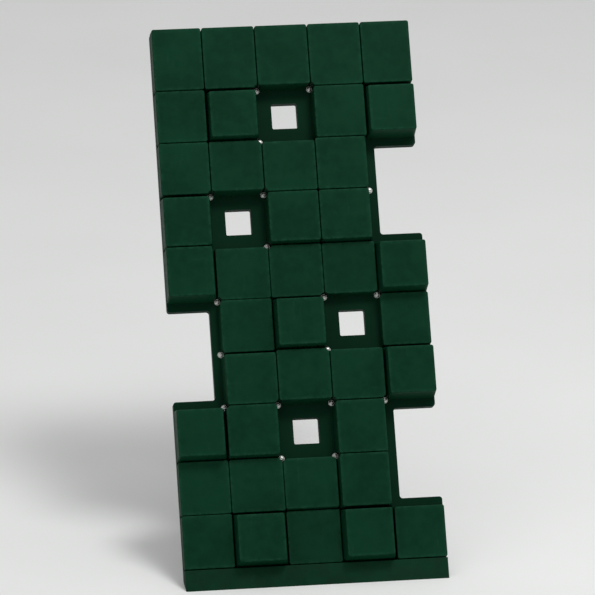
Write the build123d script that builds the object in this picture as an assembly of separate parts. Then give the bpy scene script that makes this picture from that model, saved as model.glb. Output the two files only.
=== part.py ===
from build123d import *
import math
import os

# Leaning playground climbing wall: a backing panel covered with hollow square blocks, carried on steel
# stringers and hung from the edge of a deck. Millimetres, X across the wall, Y towards the deck, Z up. The
# origin is on the ground, in the middle of the footprint.

# ---- driving dimensions ----
COLUMNS = 5
ROWS = 10
PITCH = 178.0  # square cell, block to block
LEAN = 32.0  # degrees from upright
EDGE_TRIM = 11.0  # the outer columns are this much narrower than a cell
TOP_MARGIN = 36.0  # panel above the first row, covered by taller blocks
BOTTOM_MARGIN = 50.0  # panel below the last row, down to the ground
PANEL_THICKNESS = 32.0
WINDOW = 86.0  # side of the square opening in an open inner cell
NOTCH_RIM = 27.0  # panel left standing round an open edge cell
PANEL_CORNER = 10.0
WINDOW_CORNER = 5.0

STEP_DRAFT = 9.0  # slope of a block's side above a lower neighbour or an open cell
FLUSH_DRAFT = 1.5  # slope of a side against an equal or taller neighbour
EDGE_DRAFT = 2.0  # slope of the sides that end at the panel's edge
BLOCK_GAP = 1.0  # between the feet of two neighbouring blocks
BLOCK_WALL = 5.0
BLOCK_CORNER = 7.0
FACE_FILLET = 2.5
HEIGHTS = {"H": 75.0, "M": 55.0, "L": 35.0, "B": 25.0}
# One letter for each cell, row 1 at the top: block height, or a dot for an open cell.
LAYOUT = [
    "MMMMM",
    "MH.MH",
    "MMMM.",
    "H.MM.",
    "HLLLH",
    ".LH.L",
    ".MMMH",
    "HM.M.",
    "LLLM.",
    "LHBHL",
]

BOSS_RADIUS = 11.0
BOSS_OFFSET = 45.0  # from the cell's centre, across and up
INSERT_RADIUS = 6.0
INSERT_DEPTH = 12.5
BLOCK_BOLT_RADIUS = 3.9
BLOCK_BOLT_REACH = 11.5  # above the panel's face
INSERT_PLAY = 0.2  # at each end of an insert
FIT_GAP = 0.1  # radial room round every shank
THROUGH = 1.0  # how far a cut runs on past the solid it opens
LAP = 0.5  # how far two halves of one fastener run into each other

CORNER_BOLTS = [  # (grid line across from the left, grid line down from the top)
    (2, 1), (3, 1), (2, 2), (1, 3), (2, 3), (4, 3), (2, 4), (1, 5), (3, 5),
    (4, 5), (1, 6), (3, 6), (1, 7), (2, 7), (3, 7), (4, 7), (2, 8), (3, 8),
]
CORNER_BOLT_RADIUS = 4.9
CORNER_HEAD_RADIUS = 8.5
CORNER_HEAD_HEIGHT = 5.0
CORNER_HEAD_ROUND = 4.0
CORNER_SOCKET = 5.0  # across flats
CORNER_SOCKET_DEPTH = 3.0
CORNER_RELIEF = 12.0  # clearance hollow in the blocks round a bolt
WASHER_RADIUS = 10.0
WASHER_THICKNESS = 1.5
NUT_ACROSS = 17.0
NUT_HEIGHT = 8.5
CORNER_BOLT_END = 3.0  # thread standing out behind the nut

STRINGER_WIDTH = 40.0
STRINGER_DEPTH = 20.0
STRINGER_WALL = 2.5
STRINGER_TOP = 1800.0  # along the slope from the ground line
SCREW_RADIUS = 3.0
SCREW_HEAD = 4.0
SCREW_HEAD_ROUND = 2.5
SCREW_ROWS = [2.5, 4.5, 6.5, 8.5]  # in cells down from the first grid line
SCREW_BITE = 20.0
CAP_HEAD = 3.0
CAP_PLUG = 12.0
CAP_PLAY = 0.4  # between a plug and the inside of its tube

PLATE = 6.0  # thickness of hangers and feet
BRACKET_SPREAD = 228.0  # width of one hanger or foot, over two stringers
HANGER_APEX_Z = 1535.0
HANGER_LEG_LOW = 1695.0  # lower end of the sloping leg, along the slope
HANGER_DROP = 110.0
DECK_HOLE_RADIUS = 5.5
DECK_HOLE_BELOW = 75.0  # below the hanger's fold
FOOT_LEG_TOP = 190.0
FOOT_FLANGE = 105.0
GROUND_HOLE_RADIUS = 6.75
HOLE_SPACING = 150.0
GROUND_HOLE_SHARE = 0.66  # place of the ground holes along the flange
BRACKET_FOLD = 5.0
LAG_RADIUS = 4.0
LAG_ACROSS = 13.0
LAG_HEAD = 5.5
FLANGE_RADIUS = 8.5
FLANGE = 1.5
LAG_SPREAD = 50.0  # between the two bolts on one stringer
HANGER_BOLT_V = 1741.0
FOOT_BOLT_V = 139.0

TOE_HEIGHT = 35.0
TOE_CLEAR = 1.5
TOE_SCREW_V = 36.0
TOE_BITE = 15.0

# ---- derived ----
GRID_TOP = BOTTOM_MARGIN + ROWS * PITCH
PANEL_LENGTH = GRID_TOP + TOP_MARGIN
HALF_WIDTH = COLUMNS * PITCH / 2 - EDGE_TRIM
SLOPE_SIN = math.sin(math.radians(LEAN))
SLOPE_COS = math.cos(math.radians(LEAN))
STRINGER_BACK = -PANEL_THICKNESS - STRINGER_DEPTH
STRINGER_LINES = [1, 2, 3, 4]
BRACKET_SIDES = {"left": -PITCH, "right": PITCH}
SLOPE = Rot(90 - LEAN, 0, 0)  # lays local x, y, z across, up the slope and out of the wall


def grid_x(line):
    """Place across the wall of a vertical grid line, counted from the left edge of the grid."""
    return (line - COLUMNS / 2) * PITCH


def grid_y(line):
    """Place up the slope of a level grid line, counted down from the top of the grid."""
    return GRID_TOP - line * PITCH


def slope_to_side(along, out):
    """(Y, Z) of a point given up the slope and out of the wall."""
    return (along * SLOPE_SIN - out * SLOPE_COS, along * SLOPE_COS + out * SLOPE_SIN)


def rod(x, y, low, high, radius):
    """Cylinder square to the panel between two levels."""
    return Pos(x, y, (low + high) / 2) * Cylinder(radius, high - low)


def hexagon(x, y, low, high, across):
    """Hexagonal prism square to the panel, given its width across flats."""
    face = Pos(x, y, low) * RegularPolygon(across / 2, 6, major_radius=False)
    return extrude(face, high - low)


def rectangle_at(left, right, low, high, level):
    """Level rectangular face given by its four edges."""
    return Pos((left + right) / 2, (low + high) / 2, level) * Rectangle(right - left, high - low)


def bolt_crossings():
    """Places of the corner bolts on the panel."""
    return [(grid_x(column), grid_y(row)) for column, row in CORNER_BOLTS]


def block_cells():
    """(row, column, height) of every cell that carries a block."""
    for row, letters in enumerate(LAYOUT, start=1):
        for column, letter in enumerate(letters, start=1):
            if letter != ".":
                yield row, column, HEIGHTS[letter]


def open_cells():
    """(row, column) of every open cell."""
    for row, letters in enumerate(LAYOUT, start=1):
        for column, letter in enumerate(letters, start=1):
            if letter == ".":
                yield row, column


def cell_height(row, column):
    """Height above the panel in a cell: its block, the toe strip below the last row, or nothing."""
    if row > ROWS:
        return TOE_HEIGHT
    if row < 1 or not 1 <= column <= COLUMNS:
        return 0
    return HEIGHTS.get(LAYOUT[row - 1][column - 1], 0)


def cell_centre(row, column):
    """Centre of a cell on the panel."""
    return (grid_x(column - 0.5), grid_y(row - 0.5))


def boss_places(row, column):
    """Two fixing points of a block, on one diagonal of its cell."""
    x, y = cell_centre(row, column)
    return [(x - BOSS_OFFSET, y + BOSS_OFFSET), (x + BOSS_OFFSET, y - BOSS_OFFSET)]


def block_sides(row, column):
    """Foot of a block as left, right, low and high edges, with the slope of each side."""
    left = grid_x(column - 1) + BLOCK_GAP / 2
    right = grid_x(column) - BLOCK_GAP / 2
    low = grid_y(row) + BLOCK_GAP / 2
    high = grid_y(row - 1) - BLOCK_GAP / 2
    height = cell_height(row, column)
    neighbours = [(row, column - 1), (row, column + 1), (row + 1, column), (row - 1, column)]
    slopes = [STEP_DRAFT if cell_height(*cell) < height else FLUSH_DRAFT for cell in neighbours]
    if column == 1:
        left = -HALF_WIDTH
        slopes[0] = EDGE_DRAFT
    if column == COLUMNS:
        right = HALF_WIDTH
        slopes[1] = EDGE_DRAFT
    if row == 1:
        high = PANEL_LENGTH
        slopes[3] = EDGE_DRAFT
    return (left, right, low, high), slopes


def frustum(edges, slopes, height, inset):
    """Drafted solid on the panel, drawn in by an inset on every side."""
    left, right, low, high = edges
    foot = rectangle_at(left + inset, right - inset, low + inset, high - inset, 0)
    shift = [inset + height * math.tan(math.radians(angle)) for angle in slopes]
    face = rectangle_at(left + shift[0], right - shift[1], low + shift[2], high - shift[3], height)
    return loft([foot.face(), face.face()])


def block(row, column, height):
    """Hollow block: drafted shell, two fixing bosses, and a hollow at each corner where a bolt head sits."""
    edges, slopes = block_sides(row, column)
    outer = frustum(edges, slopes, height, 0)
    upright = outer.edges().filter_by(Axis.Z, reverse=True).filter_by(
        lambda edge: abs(edge.position_at(0).Z - edge.position_at(1).Z) > height / 2)
    outer = fillet(upright, BLOCK_CORNER)
    outer = fillet(outer.edges().group_by(Axis.Z)[-1], FACE_FILLET)
    inner = frustum(edges, slopes, height - BLOCK_WALL, BLOCK_WALL)
    centre = cell_centre(row, column)
    for x, y in bolt_crossings():
        if max(abs(x - centre[0]), abs(y - centre[1])) < PITCH / 2 + THROUGH:
            outer -= rod(x, y, -THROUGH, height + THROUGH, CORNER_RELIEF)
            inner -= rod(x, y, -THROUGH, height + THROUGH, CORNER_RELIEF + BLOCK_WALL)
    shell = outer - inner
    for x, y in boss_places(row, column):
        shell += rod(x, y, 0, height - BLOCK_WALL / 2, BOSS_RADIUS)
        shell -= rod(x, y, -THROUGH, INSERT_DEPTH, INSERT_RADIUS)
    return shell


def notch_rectangle(row, column):
    """Part of the panel that an open edge cell takes away, as left, right, low and high."""
    left = grid_x(column - 1) + NOTCH_RIM
    right = grid_x(column) - NOTCH_RIM
    if column == 1:
        left = -HALF_WIDTH - PITCH
    if column == COLUMNS:
        right = HALF_WIDTH + PITCH
    low = grid_y(row) + (0 if (row + 1, column) in list(open_cells()) else NOTCH_RIM)
    high = grid_y(row - 1) - (0 if (row - 1, column) in list(open_cells()) else NOTCH_RIM)
    return left, right, low, high


def panel_outline():
    """Flat outline of the panel with its edge notches and windows."""
    outline = rectangle_at(-HALF_WIDTH, HALF_WIDTH, -PANEL_THICKNESS, PANEL_LENGTH, 0)
    for row, column in open_cells():
        if column in (1, COLUMNS):
            outline -= rectangle_at(*notch_rectangle(row, column), 0)
    outline = fillet(outline.vertices(), PANEL_CORNER)
    for row, column in open_cells():
        if column not in (1, COLUMNS):
            x, y = cell_centre(row, column)
            outline -= Pos(x, y) * RectangleRounded(WINDOW, WINDOW, WINDOW_CORNER)
    return outline


def screw_places():
    """Places of the screws that join stringers and panel."""
    return [(grid_x(line), grid_y(row)) for line in STRINGER_LINES for row in SCREW_ROWS]


def lag_places(middle):
    """Places of the bolts that join brackets, stringers and panel, round a level up the slope."""
    return [
        (grid_x(line), middle + side * LAG_SPREAD / 2)
        for line in STRINGER_LINES
        for side in (-1, 1)
    ]


def toe_screw_places():
    """Places of the toe strip's screws, one below each column."""
    return [(grid_x(column - 0.5), TOE_SCREW_V) for column in range(1, COLUMNS + 1)]


def base_panel():
    """Backing panel, pierced for every fastener."""
    panel = extrude(panel_outline(), -PANEL_THICKNESS)
    back = -PANEL_THICKNESS - THROUGH
    blind = SCREW_BITE - PANEL_THICKNESS + THROUGH
    bosses = [place for row, column, _ in block_cells() for place in boss_places(row, column)]
    lags = lag_places(HANGER_BOLT_V) + lag_places(FOOT_BOLT_V)
    holes = [rod(x, y, back, THROUGH, CORNER_BOLT_RADIUS + FIT_GAP) for x, y in bolt_crossings()]
    holes += [rod(x, y, back, THROUGH, BLOCK_BOLT_RADIUS + FIT_GAP) for x, y in bosses]
    holes += [rod(x, y, back, THROUGH, SCREW_RADIUS + FIT_GAP) for x, y in toe_screw_places()]
    holes += [rod(x, y, back, blind, SCREW_RADIUS + FIT_GAP) for x, y in screw_places()]
    holes += [rod(x, y, back, blind, LAG_RADIUS + FIT_GAP) for x, y in lags]
    return panel - holes


def toe_strip():
    """Kick strip below the lowest blocks, screwed on from behind the panel."""
    high = BOTTOM_MARGIN - TOE_CLEAR
    edges = (-HALF_WIDTH, HALF_WIDTH, -PANEL_THICKNESS, high)
    strip = frustum(edges, [EDGE_DRAFT, EDGE_DRAFT, 0, FLUSH_DRAFT], TOE_HEIGHT, 0)
    strip = fillet(strip.edges().group_by(Axis.Z)[-1], FACE_FILLET)
    for x, y in toe_screw_places():
        strip -= rod(x, y, -THROUGH, TOE_BITE + THROUGH, SCREW_RADIUS + FIT_GAP)
    return strip


def stringer(line):
    """Flat steel tube behind one vertical grid line."""
    length = STRINGER_TOP + STRINGER_DEPTH * 2
    middle = STRINGER_TOP - length / 2
    level = -PANEL_THICKNESS - STRINGER_DEPTH / 2
    tube = Pos(grid_x(line), middle, level) * Box(STRINGER_WIDTH, length, STRINGER_DEPTH)
    bore = Pos(grid_x(line), middle, level) * Box(
        STRINGER_WIDTH - 2 * STRINGER_WALL, length + 2 * THROUGH, STRINGER_DEPTH - 2 * STRINGER_WALL)
    tube = fillet(tube.edges().filter_by(Axis.Y), STRINGER_WALL) - bore
    holes = [(place, CORNER_BOLT_RADIUS) for place in bolt_crossings()]
    holes += [(place, SCREW_RADIUS) for place in screw_places()]
    holes += [(place, LAG_RADIUS) for place in lag_places(HANGER_BOLT_V) + lag_places(FOOT_BOLT_V)]
    for (x, y), radius in holes:
        if abs(x - grid_x(line)) < STRINGER_WIDTH / 2:
            tube -= rod(x, y, STRINGER_BACK - THROUGH, THROUGH - PANEL_THICKNESS, radius + FIT_GAP)
    return tube


def stringer_cap(line):
    """Plug in the top end of a stringer."""
    level = -PANEL_THICKNESS - STRINGER_DEPTH / 2
    place = Pos(grid_x(line), STRINGER_TOP + CAP_HEAD / 2, level)
    head = place * Box(STRINGER_WIDTH, CAP_HEAD, STRINGER_DEPTH)
    inside = 2 * STRINGER_WALL + CAP_PLAY
    plug = Pos(grid_x(line), STRINGER_TOP - CAP_PLUG / 2, level) * Box(
        STRINGER_WIDTH - inside, CAP_PLUG, STRINGER_DEPTH - inside)
    head = fillet(head.edges().filter_by(Axis.Y), STRINGER_WALL)
    return head + plug


def corner_bolt(x, y):
    """Button-head bolt through panel and stringer."""
    low = STRINGER_BACK - NUT_HEIGHT - CORNER_BOLT_END
    top = WASHER_THICKNESS + CORNER_HEAD_HEIGHT
    head = rod(x, y, WASHER_THICKNESS, top, CORNER_HEAD_RADIUS)
    head = fillet(head.edges().group_by(Axis.Z)[-1], CORNER_HEAD_ROUND)
    head -= hexagon(x, y, top - CORNER_SOCKET_DEPTH, top + THROUGH, CORNER_SOCKET)
    return head + rod(x, y, low, WASHER_THICKNESS + LAP, CORNER_BOLT_RADIUS)


def corner_washer(x, y):
    """Washer under a button head."""
    bore = rod(x, y, -THROUGH, WASHER_THICKNESS + THROUGH, CORNER_BOLT_RADIUS + FIT_GAP)
    return rod(x, y, 0, WASHER_THICKNESS, WASHER_RADIUS) - bore


def corner_nut(x, y):
    """Nut of a corner bolt, behind its stringer."""
    low = STRINGER_BACK - NUT_HEIGHT
    bore = rod(x, y, low - THROUGH, STRINGER_BACK + THROUGH, CORNER_BOLT_RADIUS + FIT_GAP)
    return hexagon(x, y, low, STRINGER_BACK, NUT_ACROSS) - bore


def panel_screw(x, y):
    """Pan-head screw from the back of a stringer into the panel."""
    head = rod(x, y, STRINGER_BACK - SCREW_HEAD, STRINGER_BACK, SCREW_RADIUS * 2)
    head = fillet(head.edges().group_by(Axis.Z)[0], SCREW_HEAD_ROUND)
    return head + rod(x, y, STRINGER_BACK - LAP, SCREW_BITE - PANEL_THICKNESS, SCREW_RADIUS)


def block_bolt(x, y):
    """Flanged hexagon bolt from the back of the panel into a block."""
    back = -PANEL_THICKNESS
    flange = rod(x, y, back - FLANGE, back, FLANGE_RADIUS)
    head = hexagon(x, y, back - FLANGE - LAG_HEAD, back - LAP, LAG_ACROSS)
    return flange + head + rod(x, y, back - LAP, BLOCK_BOLT_REACH, BLOCK_BOLT_RADIUS)


def block_insert(x, y):
    """Threaded brass insert moulded into a block's boss."""
    sleeve = rod(x, y, INSERT_PLAY, INSERT_DEPTH - INSERT_PLAY, INSERT_RADIUS - FIT_GAP / 2)
    return sleeve - rod(x, y, -THROUGH, INSERT_DEPTH + THROUGH, BLOCK_BOLT_RADIUS + FIT_GAP)


def lag_bolt(x, y):
    """Hexagon lag bolt through a bracket and a stringer into the panel."""
    back = STRINGER_BACK - PLATE
    head = hexagon(x, y, back - LAG_HEAD, back, LAG_ACROSS)
    return head + rod(x, y, back - LAP, SCREW_BITE - PANEL_THICKNESS, LAG_RADIUS)


def toe_screw(x, y):
    """Pan-head screw from the back of the panel into the toe strip."""
    head = rod(x, y, -PANEL_THICKNESS - SCREW_HEAD, -PANEL_THICKNESS, SCREW_RADIUS * 2)
    head = fillet(head.edges().group_by(Axis.Z)[0], SCREW_HEAD_ROUND)
    return head + rod(x, y, -PANEL_THICKNESS - LAP, TOE_BITE, SCREW_RADIUS)


def side_plate(points, middle):
    """Bracket folded from plate: its side outline in Y and Z, carried across the wall."""
    across = Plane(origin=(middle - BRACKET_SPREAD / 2, 0, 0), x_dir=(0, 1, 0), z_dir=(1, 0, 0))
    outline = across * Polygon(*points, align=None)
    return extrude(outline, BRACKET_SPREAD, dir=(1, 0, 0))


def hanger(middle):
    """Folded hanger: a leg on the stringers and a leg down the deck's face."""
    apex_along = (HANGER_APEX_Z - STRINGER_BACK * SLOPE_SIN) / SLOPE_COS
    deck = slope_to_side(apex_along, STRINGER_BACK)[0]
    inner = STRINGER_BACK - PLATE
    inner_along = (deck - PLATE + inner * SLOPE_COS) / SLOPE_SIN
    points = [
        slope_to_side(HANGER_LEG_LOW, STRINGER_BACK),
        (deck, HANGER_APEX_Z),
        (deck, HANGER_APEX_Z - HANGER_DROP),
        (deck - PLATE, HANGER_APEX_Z - HANGER_DROP),
        slope_to_side(inner_along, inner),
        slope_to_side(HANGER_LEG_LOW, inner),
    ]
    plate = side_plate(points, middle)
    fold = plate.edges().filter_by(Axis.X).group_by(Axis.Z)[-1]
    plate = fillet(fold, BRACKET_FOLD)
    height = HANGER_APEX_Z - DECK_HOLE_BELOW
    for side in (-1, 1):
        hole = Pos(middle + side * HOLE_SPACING / 2, deck, height) * Rot(90, 0, 0)
        plate -= hole * Cylinder(DECK_HOLE_RADIUS, 4 * PLATE)
    for x, y in lag_places(HANGER_BOLT_V):
        plate -= SLOPE * rod(x, y, inner - THROUGH, STRINGER_BACK + THROUGH, LAG_RADIUS + FIT_GAP)
    return plate


def foot(middle):
    """Folded ground foot: a leg on the stringers and a flange on the ground."""
    inner = STRINGER_BACK - PLATE
    front = slope_to_side(-STRINGER_BACK * SLOPE_SIN / SLOPE_COS, STRINGER_BACK)[0]
    inner_along = (PLATE - inner * SLOPE_SIN) / SLOPE_COS
    points = [
        (front, 0),
        slope_to_side(FOOT_LEG_TOP, STRINGER_BACK),
        slope_to_side(FOOT_LEG_TOP, inner),
        slope_to_side(inner_along, inner),
        (front + FOOT_FLANGE, PLATE),
        (front + FOOT_FLANGE, 0),
    ]
    plate = side_plate(points, middle)
    for side in (-1, 1):
        hole = Pos(middle + side * HOLE_SPACING / 2, front + FOOT_FLANGE * GROUND_HOLE_SHARE, 0)
        plate -= hole * Cylinder(GROUND_HOLE_RADIUS, 4 * PLATE)
    for x, y in lag_places(FOOT_BOLT_V):
        plate -= SLOPE * rod(x, y, inner - THROUGH, STRINGER_BACK + THROUGH, LAG_RADIUS + FIT_GAP)
    return plate


def build_nodes():
    """Every node by name, in a frame with the ground line of the panel's face at Y = 0."""
    reach = 2 * PANEL_LENGTH
    above_ground = Pos(0, 0, reach / 2) * Box(reach, 2 * reach, reach)
    nodes = {"base_panel": (SLOPE * base_panel()) & above_ground}
    for row, column, height in block_cells():
        nodes[f"block_r{row:02d}_c{column}"] = SLOPE * block(row, column, height)
    nodes["toe_strip"] = (SLOPE * toe_strip()) & above_ground
    for line in STRINGER_LINES:
        nodes[f"stringer_{line}"] = (SLOPE * stringer(line)) & above_ground
    for side, middle in BRACKET_SIDES.items():
        nodes[f"hanger_{side}"] = hanger(middle)
        nodes[f"foot_{side}"] = foot(middle)
    bosses = [place for row, column, _ in block_cells() for place in boss_places(row, column)]
    groups = {
        "corner_bolts": [corner_bolt(x, y) for x, y in bolt_crossings()],
        "corner_washers": [corner_washer(x, y) for x, y in bolt_crossings()],
        "corner_nuts": [corner_nut(x, y) for x, y in bolt_crossings()],
        "panel_screws": [panel_screw(x, y) for x, y in screw_places()],
        "block_bolts": [block_bolt(x, y) for x, y in bosses],
        "block_inserts": [block_insert(x, y) for x, y in bosses],
        "hanger_bolts": [lag_bolt(x, y) for x, y in lag_places(HANGER_BOLT_V)],
        "foot_bolts": [lag_bolt(x, y) for x, y in lag_places(FOOT_BOLT_V)],
        "toe_screws": [toe_screw(x, y) for x, y in toe_screw_places()],
        "stringer_caps": [stringer_cap(line) for line in STRINGER_LINES],
    }
    for name, pieces in groups.items():
        nodes[name] = Compound(children=[(SLOPE * piece).solid() for piece in pieces])
    return nodes


def main():
    """Centre the footprint on the origin and write one file for each node."""
    os.makedirs("parts", exist_ok=True)
    nodes = build_nodes()
    boxes = [shape.bounding_box() for shape in nodes.values()]
    front = min(box.min.Y for box in boxes)
    back = max(box.max.Y for box in boxes)
    shift = -(front + back) / 2
    centred = Pos(0, shift, 0)
    for name, shape in nodes.items():
        export_step(centred * shape, f"parts/{name}.step")
    print("nodes", len(nodes), "shift", round(shift, 3), "front", round(front, 3), "back", round(back, 3))


main()
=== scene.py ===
"""Looks of a leaning playground climbing wall: moulded green blocks on a pierced panel, and its steelwork.

Every length is in metres. The wall is worked out in its own slope frame: u runs across, v up the slope and
w out of the wall, all three through the world's origin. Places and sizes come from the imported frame.
"""
import math

import bmesh
import bpy
import numpy as np
from mathutils import Matrix, Vector


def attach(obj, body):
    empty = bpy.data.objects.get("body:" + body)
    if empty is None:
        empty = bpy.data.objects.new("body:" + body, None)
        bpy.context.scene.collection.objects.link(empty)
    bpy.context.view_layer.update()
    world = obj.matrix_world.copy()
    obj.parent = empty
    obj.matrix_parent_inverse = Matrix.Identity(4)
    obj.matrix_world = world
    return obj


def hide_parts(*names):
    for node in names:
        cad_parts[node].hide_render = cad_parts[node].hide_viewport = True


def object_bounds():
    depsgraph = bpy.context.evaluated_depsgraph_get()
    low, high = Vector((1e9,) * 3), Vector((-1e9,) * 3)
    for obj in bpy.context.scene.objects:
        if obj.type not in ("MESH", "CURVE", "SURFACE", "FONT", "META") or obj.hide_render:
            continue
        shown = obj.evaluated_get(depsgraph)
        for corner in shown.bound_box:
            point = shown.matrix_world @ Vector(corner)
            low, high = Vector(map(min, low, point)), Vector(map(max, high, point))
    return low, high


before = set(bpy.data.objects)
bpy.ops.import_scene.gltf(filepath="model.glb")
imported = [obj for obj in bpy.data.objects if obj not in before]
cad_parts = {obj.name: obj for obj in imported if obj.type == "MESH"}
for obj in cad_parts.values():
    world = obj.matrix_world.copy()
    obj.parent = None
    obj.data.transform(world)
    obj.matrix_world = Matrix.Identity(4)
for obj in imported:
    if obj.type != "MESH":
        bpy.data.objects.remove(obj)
cad_low, cad_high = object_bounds()

BODY = "root"
MM = 0.001
LEAN = math.radians(32)  # from upright
SLOPE_TURN = math.radians(90) - LEAN  # from a level wall to this one, about the x axis
BLOCK_WALL = 5 * MM
BLOCK_CORNER = 7 * MM
FACE_ROUND = 2.5 * MM
ROUND_SHARE = 0.85  # part of the face's edge round that shows beyond the side, seen square to the wall
FACE_CROWN = 0.5 * MM  # a face stands this much lower at its rim than in its middle
BOLT_RELIEF = 12 * MM  # hollow in a block's corner round a bolt head
INNER_CORNER = 0.6  # radius of a shell's inner corners, as a share of the outer one
BOLT_SPREAD = 30 * MM  # wider than a washer, and much less than the way to the next bolt
LEVEL_SLACK = 0.1 * MM  # points this near a level count as lying on it
TINY = 1e-9  # keeps a division off zero
WELD = 0.01 * MM
PANEL_ROUND = 0.8 * MM
SHARP_ANGLE = math.radians(38)  # edges sharper than this stay crisp under smooth shading
FLAT_ANGLE = math.radians(0.05)  # faces that meet flatter than this become one
ROUND_ANGLE = math.radians(50)  # panel edges sharper than this are rounded
HEAD_RADIUS = 8.5 * MM
HEAD_DOME = 4.2 * MM
SOCKET_HALF = 2.5 * MM  # half the width across flats
SOCKET_DEPTH = 3 * MM
SOCKET_LIP = 0.5 * MM
SOCKET_FLARE = 0.35 * MM
HEAD_CHAMFER = 0.3 * MM
SHANK_RADIUS = 4.9 * MM
TAIL_CHAMFER = 1 * MM

SLOPE = np.array(Matrix.Rotation(SLOPE_TURN, 3, "X"))


# ---- places from the frame ----

def slope_points(node):
    """Vertices of a CAD node in the slope frame."""
    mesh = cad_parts[node].data
    flat = np.zeros(len(mesh.vertices) * 3, np.float32)
    mesh.vertices.foreach_get("co", flat)
    return flat.reshape(-1, 3) @ SLOPE


def slope_box(node):
    """Lowest and highest corner of a CAD node in the slope frame."""
    points = slope_points(node)
    return points.min(0), points.max(0)


def scattered_centres(node, spread):
    """Centres across and up the slope of a node's small solids, which stand further apart than spread."""
    points = slope_points(node)[:, :2]
    centres = []
    while len(points):
        near = np.abs(points - points[0]).max(1) < spread
        centres.append((points[near].min(0) + points[near].max(0)) / 2)
        points = points[~near]
    return np.array(centres)


# ---- meshes ----

def finish_mesh(piece, material):
    """Smooth shading with sharp edges, one material, and a ride on the wall."""
    mesh = piece.data
    mesh.shade_smooth()
    mesh.set_sharp_from_angle(angle=SHARP_ANGLE)
    mesh.materials.clear()
    mesh.materials.append(material)
    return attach(piece, BODY)


def mesh_piece(name, points, faces, attributes=None):
    """New object from slope-frame points, with float attributes on its points."""
    mesh = bpy.data.meshes.new(name)
    mesh.from_pydata((points @ SLOPE.T).tolist(), [], faces)
    for key, values in (attributes or {}).items():
        layer = mesh.attributes.new(key, "FLOAT", "POINT")
        layer.data.foreach_set("value", np.asarray(values, np.float32))
    mesh.update()
    piece = bpy.data.objects.new(name, mesh)
    bpy.context.scene.collection.objects.link(piece)
    return piece


def ring_faces(rings, count):
    """Quads between neighbouring closed rings of count points, and a fan to a pole at each end.

    Ring r holds points r * count to r * count + count - 1. The first pole comes after the last ring, and the
    last pole after it.
    """
    low = np.arange(rings - 1)[:, None] * count + np.arange(count)[None, :]
    low_next = np.arange(rings - 1)[:, None] * count + (np.arange(count)[None, :] + 1) % count
    quads = np.stack([low, low_next, low_next + count, low + count], -1).reshape(-1, 4)
    around = np.arange(count)
    after = (around + 1) % count
    first, last = rings * count, rings * count + 1
    top = (rings - 1) * count
    start = np.stack([np.full(count, first), after, around], -1)
    end = np.stack([np.full(count, last), top + around, top + after], -1)
    return quads.tolist() + start.tolist() + end.tolist()


CORNER_STEPS = 12
SIDE_STEPS = 14


def rounded_rectangles(left, right, low, high, radius):
    """Closed rings, one for each entry of the edge arrays, as an array of (ring, point, 2).

    A ring is four arcs joined by straight sides. Arc point: corner centre + radius * (cos t, sin t), t
    turning a quarter round each corner. Side point: straight mix of the end of one arc and the start of
    the next.
    """
    turn = np.linspace(0, math.pi / 2, CORNER_STEPS)
    signs = np.array([(1, 1), (-1, 1), (-1, -1), (1, -1)])
    starts = np.arange(4) * math.pi / 2
    half = np.stack([(right - left) / 2 - radius, (high - low) / 2 - radius], -1)
    middle = np.stack([(right + left) / 2, (high + low) / 2], -1)
    arcs = []
    for sign, start in zip(signs, starts):
        direction = np.stack([np.cos(turn + start), np.sin(turn + start)], -1)
        arcs.append(middle[:, None] + half[:, None] * sign + radius[:, None, None] * direction[None])
    mix = (np.arange(1, SIDE_STEPS + 1) / (SIDE_STEPS + 1))[None, :, None]
    loop = []
    for corner in range(4):
        end, begin = arcs[corner][:, -1:], arcs[(corner + 1) % 4][:, :1]
        loop += [arcs[corner], end * (1 - mix) + begin * mix]
    return np.concatenate(loop, 1)


def push_out(points, centres, reach):
    """The hollow round a bolt: a point nearer than reach to a centre moves straight out to reach."""
    for centre in centres:
        away = points - centre
        distance = np.linalg.norm(away, axis=-1, keepdims=True)
        moved = centre + away / np.maximum(distance, TINY) * reach
        points = np.where(distance < reach, moved, points)
    return points


INNER_FACE_RINGS = (0.15, 0.5, 1.0)  # way out from the middle of the inner face
OUTER_FACE_RINGS = (0.012, 0.03, 0.07, 0.14, 0.26, 0.42, 0.6, 0.78, 0.92)  # way in from the face's edge
WALL_STEPS = 8
EDGE_STEPS = 7
WEAR_CLIMB = 8  # power that keeps the wear of a side close under the face's edge
WEAR_START = 0.9  # shrink at which the wear begins on the face
WEAR_RATE = 10  # wear gained per unit of shrink beyond that


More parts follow.
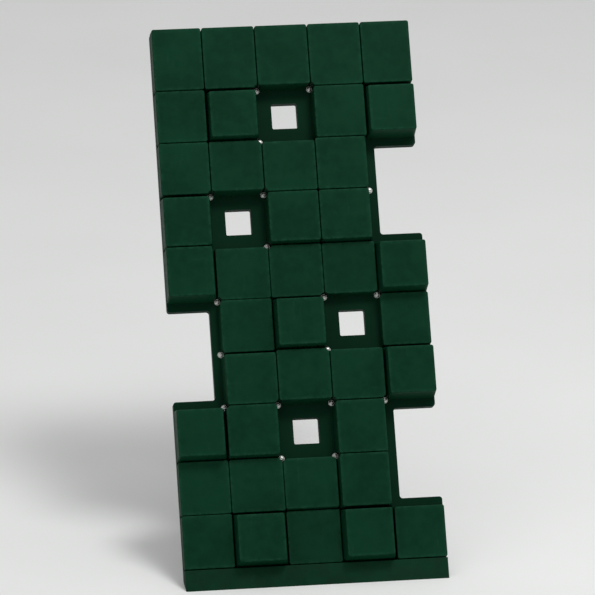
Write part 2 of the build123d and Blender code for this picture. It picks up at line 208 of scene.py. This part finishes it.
def block_profile(height):
    """Rings of a block from the middle of its inner face to the middle of its outer face.

    Returns each ring's height, inset beyond the sloping side, shrink towards the middle and edge wear, and
    which rings are inside. Inner face: shrink grows to 1 at height less the wall. Inner side: down to the
    foot. Outer side: up from the foot. Edge: a quarter circle. Outer face: shrink falls from 1, and the level
    is height less crown * shrink squared.
    """
    grow = np.array(INNER_FACE_RINGS)
    climb = np.linspace(0, 1, WALL_STEPS + 1)[1:]
    bend = np.linspace(0, math.pi / 2, EDGE_STEPS + 1)[1:]
    shrink = 1 - np.array(OUTER_FACE_RINGS)
    rim = height - FACE_CROWN
    inner_top = height - BLOCK_WALL
    inner = len(grow) + len(climb)
    level = np.concatenate([
        np.full(len(grow), inner_top),
        inner_top * (1 - climb),
        [0.0],
        (rim - FACE_ROUND) * climb,
        rim - FACE_ROUND * (1 - np.sin(bend)),
        height - FACE_CROWN * shrink ** 2,
    ])
    inset = np.concatenate([
        np.full(inner, BLOCK_WALL),
        np.zeros(1 + len(climb)),
        FACE_ROUND * (1 - np.cos(bend)),
        np.full(len(shrink), FACE_ROUND),
    ])
    scale = np.concatenate([grow, np.ones(2 * len(climb) + 1 + len(bend)), shrink])
    edge = np.concatenate([
        np.zeros(inner + 1),
        climb ** WEAR_CLIMB,
        np.ones(len(bend)),
        np.clip((shrink - WEAR_START) * WEAR_RATE, 0, 1),
    ])
    return level, inset, scale, edge, np.arange(len(level)) < inner


def side_slopes(node):
    """Inset of each side of a block per unit of height: left, right, low, high.

    It is the way from the foot's edge to the face's edge, less what the face's round takes, over the height.
    """
    points = slope_points(node)
    foot, face = points[:, 2].min(), points[:, 2].max()
    bottom = points[points[:, 2] < foot + LEVEL_SLACK][:, :2]
    top = points[points[:, 2] > face - LEVEL_SLACK][:, :2]
    before = top.min(0) - bottom.min(0)
    after = bottom.max(0) - top.max(0)
    insets = np.array([before[0], after[0], before[1], after[1]]) - FACE_ROUND * ROUND_SHARE
    return np.maximum(insets, 0) / (face - foot)


def moulded_block(node, material, bolts):
    """Hollow block: rounded rectangles along its profile, each side drawn in by its slope * height."""
    (left, low, foot), (right, high, top) = slope_box(node)
    height = top - foot
    level, inset, scale, edge, inside = block_profile(height)
    lean = [slope * level + inset for slope in side_slopes(node)]
    edges = [left + lean[0], right - lean[1], low + lean[2], high - lean[3]]
    middle = np.array([(edges[0] + edges[1]) / 2, (edges[2] + edges[3]) / 2])
    edges = [middle[side // 2] + (line - middle[side // 2]) * scale for side, line in enumerate(edges)]
    radius = np.where(inside, BLOCK_CORNER * INNER_CORNER, BLOCK_CORNER - inset) * scale
    rings = rounded_rectangles(*edges, radius)
    shell_inside = push_out(rings, bolts, BOLT_RELIEF + BLOCK_WALL)
    shell_outside = push_out(rings, bolts, BOLT_RELIEF)
    rings = np.where(inside[:, None, None], shell_inside, shell_outside)
    count = rings.shape[1]
    heights = np.broadcast_to((foot + level)[:, None, None], (len(level), count, 1))
    points = np.concatenate([rings, heights], -1).reshape(-1, 3)
    poles = np.array([[*middle[:, 0], foot + level[0]], [*middle[:, -1], foot + height]])
    points = np.concatenate([points, poles])
    wear = np.append(np.repeat(edge, count), [0, 0])
    rise = np.append(np.repeat(level, count), [level[0], height])
    attributes = {"edge": wear, "rise": rise}
    piece = mesh_piece(f"moulded_{node}", points, ring_faces(len(level), count), attributes)
    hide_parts(node)
    return finish_mesh(piece, material)


BOLT_STEPS = 48
DOME_STEPS = 9
SOCKET_FLATS = 6
SOCKET_TURN = 0.42  # angle on the dome at the socket's rim
FLOOR_RING = 0.5  # extra ring on the socket's floor, as a share of its half width
FLARE_SHARE = 0.6  # how six-sided the flare still is


def bolt_profile(foot, head_top, tail):
    """Radius, level and socket share of each ring of a button-head bolt, from socket floor to tail.

    Socket: straight walls up from its floor, then a small flare. Dome: radius * sin t at a level that falls
    by the dome's height * (1 - cos t), t from the socket's rim to the head's edge. Then the shank, to a
    chamfer.
    """
    turn = np.linspace(SOCKET_TURN, math.pi / 2, DOME_STEPS)
    drop = HEAD_DOME * (1 - np.cos(turn))
    rows = [
        (SOCKET_HALF * FLOOR_RING, head_top - SOCKET_DEPTH, 1.0),
        (SOCKET_HALF, head_top - SOCKET_DEPTH, 1.0),
        (SOCKET_HALF, head_top - SOCKET_LIP, 1.0),
        (SOCKET_HALF + SOCKET_FLARE, head_top - drop[0], FLARE_SHARE),
    ]
    rows += [(HEAD_RADIUS * math.sin(angle), head_top - fall, 0.0) for angle, fall in zip(turn, drop)]
    rows += [
        (HEAD_RADIUS, foot + HEAD_CHAMFER, 0.0),
        (HEAD_RADIUS - HEAD_CHAMFER, foot, 0.0),
        (SHANK_RADIUS, foot, 0.0),
        (SHANK_RADIUS, tail + TAIL_CHAMFER, 0.0),
        (SHANK_RADIUS - TAIL_CHAMFER, tail, 0.0),
    ]
    return np.array(rows)


def corner_bolt_set(places, material):
    """Every corner bolt in one piece: profile rings turned round each place, six-sided inside the socket.

    The socket's outline is half its width across flats / cos(angle from the middle of the nearest flat).
    """
    points = slope_points("corner_bolts")
    washer = slope_box("corner_washers")
    rows = bolt_profile(washer[1][2], points[:, 2].max(), points[:, 2].min())
    angle = np.arange(BOLT_STEPS) * 2 * math.pi / BOLT_STEPS
    flat = 2 * math.pi / SOCKET_FLATS
    six = 1 / np.cos((angle % flat) - flat / 2)
    radius = rows[:, :1] * (1 + rows[:, 2:] * (six[None] - 1))
    level = np.broadcast_to(rows[:, 1:2], radius.shape)
    rings = np.stack([radius * np.cos(angle), radius * np.sin(angle), level], -1)
    poles = np.array([[0, 0, rows[0, 1]], [0, 0, rows[-1, 1]]])
    one = np.concatenate([rings.reshape(-1, 3), poles])
    one_faces = [face[::-1] for face in ring_faces(len(rows), BOLT_STEPS)]
    moved = [one + np.array([*place, 0]) for place in places]
    faces = []
    for number in range(len(places)):
        faces += [[index + len(one) * number for index in face] for face in one_faces]
    piece = mesh_piece("button_head_bolts", np.concatenate(moved), faces)
    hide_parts("corner_bolts")
    return finish_mesh(piece, material)


def soften(piece, width):
    """Small rounded edges."""
    edge = piece.modifiers.new("soft_edges", "BEVEL")
    edge.width = width
    edge.segments = 2
    edge.limit_method = "ANGLE"
    edge.angle_limit = ROUND_ANGLE
    edge.harden_normals = True


def smooth_copy(node, name, material):
    """The node's own shape with its triangles joined, its flat faces whole and its round ones smooth."""
    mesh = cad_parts[node].data.copy()
    mesh.name = name
    work = bmesh.new()
    work.from_mesh(mesh)
    bmesh.ops.remove_doubles(work, verts=work.verts, dist=WELD)
    bmesh.ops.dissolve_limit(work, angle_limit=FLAT_ANGLE, verts=work.verts, edges=work.edges)
    work.to_mesh(mesh)
    work.free()
    piece = bpy.data.objects.new(name, mesh)
    bpy.context.scene.collection.objects.link(piece)
    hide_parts(node)
    return finish_mesh(piece, material)


# ---- shader maths ----

class Sock:
    """An output socket whose +, - and * add Math nodes."""

    def __init__(self, tree, socket):
        self.tree = tree
        self.socket = socket

    def math(self, operation, first, second):
        """One Math node on two values or sockets."""
        return self.tree.node("ShaderNodeMath", {"operation": operation}, {0: first, 1: second})

    def __add__(self, other):
        return self.math("ADD", self, other)

    __radd__ = __add__

    def __sub__(self, other):
        return self.math("SUBTRACT", self, other)

    def __rsub__(self, other):
        return self.math("SUBTRACT", other, self)

    def __mul__(self, other):
        return self.math("MULTIPLY", self, other)

    __rmul__ = __mul__

    def clamp(self, low, high):
        """The value brought from low..high to 0..1 and held there."""
        values = {0: self, 1: low, 2: high, 3: 0.0, 4: 1.0}
        return self.tree.node("ShaderNodeMapRange", {"clamp": True}, values)


class Finish:
    """A material's node tree with short ways to add nodes."""

    def __init__(self, name, metallic=0.0, coat=0.0, specular=0.5):
        self.material = bpy.data.materials.new(name)
        self.material.use_nodes = True
        self.nodes = self.material.node_tree.nodes
        self.links = self.material.node_tree.links
        self.shader = self.nodes["Principled BSDF"]
        self.shader.inputs["Metallic"].default_value = metallic
        self.shader.inputs["Coat Weight"].default_value = coat
        self.shader.inputs["Specular IOR Level"].default_value = specular
        self.place = self.node("ShaderNodeTexCoord", {}, {}, "Object")

    def node(self, kind, settings, values, output=0):
        """Adds a node: settings first, then the values or links of its sockets."""
        made = self.nodes.new(kind)
        for key, value in settings.items():
            setattr(made, key, value)
        for key, value in values.items():
            if isinstance(value, Sock):
                self.links.new(value.socket, made.inputs[key])
            else:
                made.inputs[key].default_value = value
        return Sock(self, made.outputs[output])

    def turned(self, scale=(1, 1, 1)):
        """Object coordinates turned into the slope frame and stretched."""
        values = {"Vector": self.place, "Rotation": (-SLOPE_TURN, 0, 0)}
        flat = self.node("ShaderNodeMapping", {}, values)
        return self.node("ShaderNodeMapping", {}, {"Vector": flat, "Scale": scale})

    def noise(self, scale, detail=3.0, roughness=0.55, vector=None):
        """Soft clouds, finer with detail and harsher with roughness."""
        values = {"Vector": vector or self.place, "Scale": scale, "Detail": detail, "Roughness": roughness}
        return self.node("ShaderNodeTexNoise", {}, values)

    def cells(self, scale):
        """Distance to the nearest of many scattered points."""
        values = {"Vector": self.place, "Scale": scale}
        return self.node("ShaderNodeTexVoronoi", {"feature": "F1"}, values)

    def attribute(self, name):
        """A number stored on the piece's points, nought where the piece has none."""
        return self.node("ShaderNodeAttribute", {"attribute_name": name}, {}, "Fac")

    def mix(self, factor, first, second):
        """Colour mix."""
        values = {0: factor, 6: first, 7: second}
        return self.node("ShaderNodeMix", {"data_type": "RGBA"}, values, 2)

    def bump(self, height, distance, strength, under=None):
        """Relief of a height over a distance in metres, on top of the one under it."""
        values = {"Height": height, "Distance": distance, "Strength": strength}
        if under is not None:
            values["Normal"] = under
        return self.node("ShaderNodeBump", {}, values)

    def feed(self, **sockets):
        """Links varying values to the shader, by socket name with underscores, and returns the material."""
        for key, value in sockets.items():
            self.links.new(value.socket, self.shader.inputs[key.replace("_", " ")])
        return self.material


def colour(red, green, blue):
    """Opaque colour in linear light."""
    return (red, green, blue, 1.0)


MOULDED_DEEP = colour(0.0013, 0.0240, 0.0104)
MOULDED_LIGHT = colour(0.0026, 0.0335, 0.0154)
MOULDED_MOTTLE = colour(0.0050, 0.0430, 0.0208)
SHOE_SCUFF = colour(0.0150, 0.0600, 0.0350)
WORN_EDGE = colour(0.0120, 0.0640, 0.0340)
# greyer, darker green: dust, and painted shade at the blocks' feet
BLOCK_DUST_AND_SHADE = colour(0.0095, 0.0150, 0.0095)
PALE_SPECK = colour(0.040, 0.080, 0.055)
SHEET_DEEP = colour(0.0012, 0.0185, 0.0082)
SHEET_LIGHT = colour(0.0022, 0.0240, 0.0112)
SANDED_LINE = colour(0.007, 0.038, 0.020)
SHEET_DUST = colour(0.010, 0.020, 0.013)
BROWN_DEEP = colour(0.040, 0.017, 0.012)
BROWN_LIGHT = colour(0.055, 0.024, 0.017)
BRACKET_DEEP = colour(0.014, 0.009, 0.008)
BRACKET_LIGHT = colour(0.024, 0.015, 0.012)
PAINT_CHIP = colour(0.10, 0.085, 0.075)
STEEL_DUST = colour(0.09, 0.075, 0.062)
STAINLESS_DEEP = colour(0.50, 0.51, 0.49)
STAINLESS_LIGHT = colour(0.68, 0.69, 0.66)
ZINC_DEEP = colour(0.42, 0.43, 0.44)
ZINC_LIGHT = colour(0.62, 0.62, 0.60)
BRASS_DEEP = colour(0.55, 0.38, 0.14)
BRASS_LIGHT = colour(0.72, 0.52, 0.22)
TARNISH_SHADE = 0.45  # tarnished metal, as a share of the metal's deep colour
PLUG_DEEP = colour(0.010, 0.010, 0.011)
PLUG_LIGHT = colour(0.022, 0.022, 0.023)
FLOOR_DEEP = colour(0.78, 0.79, 0.78)
FLOOR_LIGHT = colour(0.81, 0.82, 0.81)
DUST_AND_SHADE_REACH = 30 * MM  # dust and painted shade on a block fade out this far off the panel


def moulded_green():
    """Rotationally moulded polyethylene: satin skin, orange peel, shoe scuffs, paler worn edges.

    Dust and painted shade darken a block near the panel, and lie all over a piece that stores no rise.
    """
    f = Finish("moulded_green", specular=0.04)
    cloud = f.noise(scale=5.0, detail=3.0).clamp(0.35, 0.68)
    mottle = f.noise(scale=34.0, detail=5.0, roughness=0.62).clamp(0.32, 0.70)
    base = f.mix(cloud, MOULDED_DEEP, MOULDED_LIGHT)
    base = f.mix(mottle * 0.42, base, MOULDED_MOTTLE)
    down_slope = f.turned((95.0, 9.0, 30.0))
    down = f.noise(scale=1.0, detail=5.0, roughness=0.65, vector=down_slope).clamp(0.58, 0.76)
    across_slope = f.turned((11.0, 120.0, 30.0))
    across = f.noise(scale=1.0, detail=5.0, roughness=0.65, vector=across_slope).clamp(0.60, 0.78)
    patches = f.noise(scale=7.5, detail=2.0, roughness=0.5, vector=f.turned()).clamp(0.46, 0.66)
    scuff = (down + across * 0.7) * patches
    base = f.mix(scuff * 0.45, base, SHOE_SCUFF)
    worn = f.attribute("edge") * f.noise(scale=60.0, detail=4.0, roughness=0.7).clamp(0.38, 0.66)
    base = f.mix(worn * 0.55, base, WORN_EDGE)
    # painted shade and dust: darker and greyer close to the panel, in the recesses round each block's foot
    near_panel = 1.0 - f.attribute("rise").clamp(0.0, DUST_AND_SHADE_REACH)
    dust = near_panel * f.noise(scale=24.0, detail=4.0, roughness=0.65).clamp(0.30, 0.75)
    base = f.mix(dust * 0.45, base, BLOCK_DUST_AND_SHADE)
    specks = (1.0 - f.cells(520.0).clamp(0.05, 0.16)) * f.noise(scale=90.0, detail=1.0).clamp(0.54, 0.60)
    base = f.mix(specks * 0.30, base, PALE_SPECK)
    rough = 0.42 + mottle * 0.12 + scuff * 0.20 + dust * 0.20 + worn * 0.08
    swell = f.noise(scale=26.0, detail=1.5, roughness=0.4)
    peel = f.noise(scale=420.0, detail=2.0, roughness=0.5)
    normal = f.bump(swell, distance=0.0016, strength=0.6)
    normal = f.bump(peel, distance=0.0004, strength=0.6, under=normal)
    normal = f.bump(1.0 - scuff, distance=0.0003, strength=0.5, under=normal)
    return f.feed(Base_Color=base, Roughness=rough, Normal=normal)


def panel_green():
    """Pressed polyethylene sheet: finer grain, light sanding along the slope, patches of dust."""
    f = Finish("panel_green", specular=0.035)
    cloud = f.noise(scale=6.0, detail=3.0).clamp(0.32, 0.70)
    base = f.mix(cloud, SHEET_DEEP, SHEET_LIGHT)
    along_slope = f.turned((420.0, 14.0, 420.0))
    lines = f.noise(scale=1.0, detail=3.0, roughness=0.6, vector=along_slope)
    base = f.mix(lines.clamp(0.58, 0.80) * 0.25, base, SANDED_LINE)
    dust = f.noise(scale=15.0, detail=5.0, roughness=0.65).clamp(0.46, 0.80)
    base = f.mix(dust * 0.20, base, SHEET_DUST)
    rough = 0.44 + lines * 0.12 + dust * 0.18
    grain = f.noise(scale=700.0, detail=2.0)
    normal = f.bump(lines, distance=0.00018, strength=0.5)
    normal = f.bump(grain, distance=0.00012, strength=0.5, under=normal)
    return f.feed(Base_Color=base, Roughness=rough, Normal=normal)


def powder_coat(name, dark, light):
    """Baked powder paint on steel: pebbled skin, faint clouding, dust and fine chips."""
    f = Finish(name, coat=0.12)
    cloud = f.noise(scale=9.0, detail=3.0).clamp(0.33, 0.70)
    base = f.mix(cloud, dark, light)
    chips = f.noise(scale=190.0, detail=3.0, roughness=0.7).clamp(0.735, 0.755)
    base = f.mix(chips * 0.7, base, PAINT_CHIP)
    dust = f.noise(scale=18.0, detail=5.0, roughness=0.6).clamp(0.52, 0.85)
    base = f.mix(dust * 0.25, base, STEEL_DUST)
    pebbles = f.noise(scale=900.0, detail=2.0, roughness=0.5)
    swell = f.noise(scale=60.0, detail=1.0)
    rough = 0.34 + cloud * 0.10 + dust * 0.22 + chips * 0.2
    normal = f.bump(pebbles, distance=0.00016, strength=0.7)
    normal = f.bump(swell, distance=0.00035, strength=0.35, under=normal)
    return f.feed(Base_Color=base, Roughness=rough, Normal=normal)


def bright_metal(name, dark, light, roughness, grain):
    """Bare fastener metal: fine grain, slight tarnish and grime."""
    f = Finish(name, metallic=1.0)
    grit = f.noise(scale=grain, detail=4.0, roughness=0.65)
    tarnish = f.noise(scale=75.0, detail=4.0, roughness=0.6).clamp(0.45, 0.78)
    base = f.mix(grit.clamp(0.3, 0.7), dark, light)
    base = f.mix(tarnish * 0.35, base, colour(*(channel * TARNISH_SHADE for channel in dark[:3])))
    rough = roughness - 0.05 + grit * 0.12 + tarnish * 0.22
    normal = f.bump(grit, distance=0.00005, strength=0.6)
    return f.feed(Base_Color=base, Roughness=rough, Normal=normal)


def black_plug():
    """Moulded black polyethylene of the tube plugs."""
    f = Finish("black_plug", specular=0.4)
    cloud = f.noise(scale=60.0, detail=3.0).clamp(0.3, 0.7)
    base = f.mix(cloud, PLUG_DEEP, PLUG_LIGHT)
    peel = f.noise(scale=900.0, detail=2.0)
    normal = f.bump(peel, distance=0.0001, strength=0.5)
    return f.feed(Base_Color=base, Roughness=0.42 + cloud * 0.15, Normal=normal)


def pale_floor():
    """Smooth pale studio floor with the faintest clouding."""
    f = Finish("pale_floor", specular=0.2)
    cloud = f.noise(scale=0.8, detail=3.0).clamp(0.3, 0.7)
    base = f.mix(cloud, FLOOR_DEEP, FLOOR_LIGHT)
    return f.feed(Base_Color=base, Roughness=0.65 + cloud * 0.08)


# ---- the wall ----

def build_wall():
    """Blocks, panel, steelwork and fasteners, each in its own finish."""
    block_skin = moulded_green()
    panel_skin = panel_green()
    bolts = scattered_centres("corner_washers", BOLT_SPREAD)
    for node in sorted(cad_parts):
        if node.startswith("block_r"):
            moulded_block(node, block_skin, bolts)
    soften(smooth_copy("base_panel", "pierced_panel", panel_skin), PANEL_ROUND)
    smooth_copy("toe_strip", "kick_strip", block_skin)
    brown = powder_coat("brown_powder_coat", BROWN_DEEP, BROWN_LIGHT)
    dark = powder_coat("dark_powder_coat", BRACKET_DEEP, BRACKET_LIGHT)
    for line in range(1, 5):
        smooth_copy(f"stringer_{line}", f"steel_stringer_{line}", brown)
    for side in ("left", "right"):
        smooth_copy(f"hanger_{side}", f"deck_hanger_{side}", dark)
        smooth_copy(f"foot_{side}", f"ground_foot_{side}", dark)
    stainless = bright_metal("stainless", STAINLESS_DEEP, STAINLESS_LIGHT, roughness=0.36, grain=900.0)
    zinc = bright_metal("zinc_plate", ZINC_DEEP, ZINC_LIGHT, roughness=0.36, grain=600.0)
    brass = bright_metal("brass", BRASS_DEEP, BRASS_LIGHT, roughness=0.32, grain=700.0)
    corner_bolt_set(bolts, stainless)
    for node in ("corner_washers", "corner_nuts"):
        smooth_copy(node, f"stainless_{node}", stainless)
    for node in ("panel_screws", "block_bolts", "hanger_bolts", "foot_bolts", "toe_screws"):
        smooth_copy(node, f"zinc_{node}", zinc)
    smooth_copy("block_inserts", "brass_inserts", brass)
    smooth_copy("stringer_caps", "tube_plugs", black_plug())


# ---- studio ----

FLOOR_HALF = 40.0
SKY_STRENGTH = 0.62
LAMP_PLACE = (2.0, -1.5, 7.6)
LAMP_SIZE = 2.2
LAMP_POWER = 270.0
CAMERA_DISTANCE = 14.5
CAMERA_AZIMUTH = math.radians(-7.4)
CAMERA_ELEVATION = math.radians(20.4)
LENS = 265.0
SENSOR_WIDTH = 36.0


def studio_floor():
    """Large level floor of one face."""
    mesh = bpy.data.meshes.new("studio_floor")
    corners = [(FLOOR_HALF * x, FLOOR_HALF * y, 0) for x, y in ((-1, -1), (1, -1), (1, 1), (-1, 1))]
    mesh.from_pydata(corners, [], [(0, 1, 2, 3)])
    floor = bpy.data.objects.new("studio_floor", mesh)
    mesh.materials.append(pale_floor())
    bpy.context.scene.collection.objects.link(floor)


def soft_light(name, place, target, size, power):
    """Square area light at a place, turned to a target."""
    data = bpy.data.lights.new(name, "AREA")
    data.shape = "SQUARE"
    data.size = size
    data.energy = power
    lamp = bpy.data.objects.new(name, data)
    lamp.location = place
    lamp.rotation_euler = (Vector(target) - Vector(place)).to_track_quat("-Z", "Y").to_euler()
    bpy.context.scene.collection.objects.link(lamp)


def studio_lights():
    """White sky all round and one broad lamp nearly overhead, a little to the right and in front."""
    world = bpy.data.worlds.new("pale_sky")
    world.use_nodes = True
    world.node_tree.nodes["Background"].inputs["Color"].default_value = colour(1.0, 1.0, 1.0)
    world.node_tree.nodes["Background"].inputs["Strength"].default_value = SKY_STRENGTH
    bpy.context.scene.world = world
    middle = (cad_low + cad_high) / 2
    soft_light("overhead", LAMP_PLACE, middle, LAMP_SIZE, LAMP_POWER)


def studio_camera():
    """Long lens from well in front, a little to the climber's left and above."""
    middle = (cad_low + cad_high) / 2
    level = math.cos(CAMERA_ELEVATION)
    across = math.sin(CAMERA_AZIMUTH) * level
    forward = -math.cos(CAMERA_AZIMUTH) * level
    back = Vector((across, forward, math.sin(CAMERA_ELEVATION)))
    data = bpy.data.cameras.new("camera")
    data.lens = LENS
    data.sensor_width = SENSOR_WIDTH
    camera = bpy.data.objects.new("camera", data)
    camera.location = middle + back * CAMERA_DISTANCE
    camera.rotation_euler = (-back).to_track_quat("-Z", "Y").to_euler()
    bpy.context.scene.collection.objects.link(camera)
    bpy.context.scene.camera = camera


build_wall()
studio_floor()
studio_lights()
studio_camera()
bpy.context.scene.view_settings.view_transform = "Standard"
